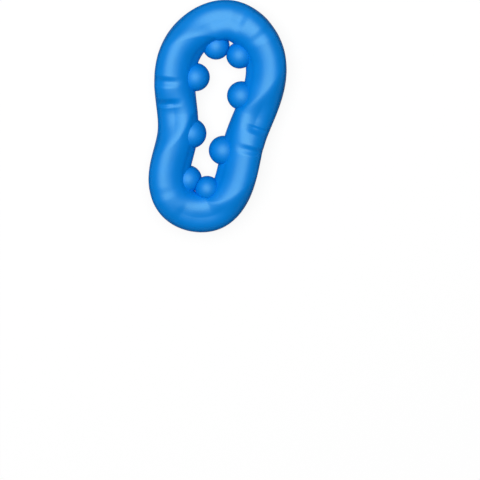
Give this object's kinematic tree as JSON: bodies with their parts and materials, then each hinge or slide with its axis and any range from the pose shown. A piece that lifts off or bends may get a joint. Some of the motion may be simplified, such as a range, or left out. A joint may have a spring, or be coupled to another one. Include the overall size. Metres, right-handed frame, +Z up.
{
  "type": "squeeze ring",
  "caption": "Soft blue squeeze ring: a thick moulded elastomer cord closed into a loop, with domed beads on its inner wall, pinched into a long oval and free to spring open to a round ring.",
  "frame": {"origin": "bottom centre of the bounding box, in the middle of the loop, on the surface that the ring lies on", "axes": "+Y along the long axis of the pinched oval, +X across it, +Z up out of the ring's plane towards the face that shows"},
  "size_m": [0.0469, 0.0852, 0.0129],
  "materials": {
    "cord": "satin moulded silicone",
    "bead": "satin moulded silicone"
  },
  "bodies": {
    "upper_left": {"upper_left_cord": "cord", "upper_left_bead": "bead", "top_left_bead": "bead"},
    "upper_right": {"upper_right_cord": "cord", "top_right_bead": "bead", "upper_right_bead": "bead"},
    "lower_left": {"lower_left_cord": "cord", "bottom_left_bead": "bead", "lower_left_bead": "bead"},
    "lower_right": {"lower_right_cord": "cord", "lower_right_bead": "bead"},
    "bottom_right": {"bottom_right_cord": "cord", "bottom_right_bead": "bead"}
  },
  "joints": [
    {"name": "top_flex", "type": "hinge", "parent": "upper_left", "child": "upper_right", "pos_m": [0, 0.0324, 0.0062], "axis": [0, 0, 1], "range_deg": [0, 48], "stiffness_Nm_per_rad": 0.15, "springref_deg": 48.01, "deforming": ["upper_left_cord", "upper_right_cord"]},
    {"name": "left_flex", "type": "hinge", "parent": "upper_left", "child": "lower_left", "pos_m": [-0.01313, -0.0015, 0.0062], "axis": [0, 0, 1], "range_deg": [0, 48], "deforming": ["lower_left_cord"]},
    {"name": "right_flex", "type": "hinge", "parent": "upper_right", "child": "lower_right", "pos_m": [0.01313, -0.0015, 0.0062], "axis": [0, 0, 1], "range_deg": [-48, 0], "deforming": ["lower_right_cord"]},
    {"name": "bottom_flex", "type": "hinge", "parent": "lower_left", "child": "bottom_right", "pos_m": [0, -0.0354, 0.0062], "axis": [0, 0, 1], "range_deg": [-48, 0], "deforming": ["bottom_right_cord"]}
  ],
  "couplings": [
    {"joint": "left_flex", "follows": "top_flex", "ratio": 1},
    {"joint": "right_flex", "follows": "top_flex", "ratio": -1},
    {"joint": "bottom_flex", "follows": "top_flex", "ratio": -1}
  ]
}
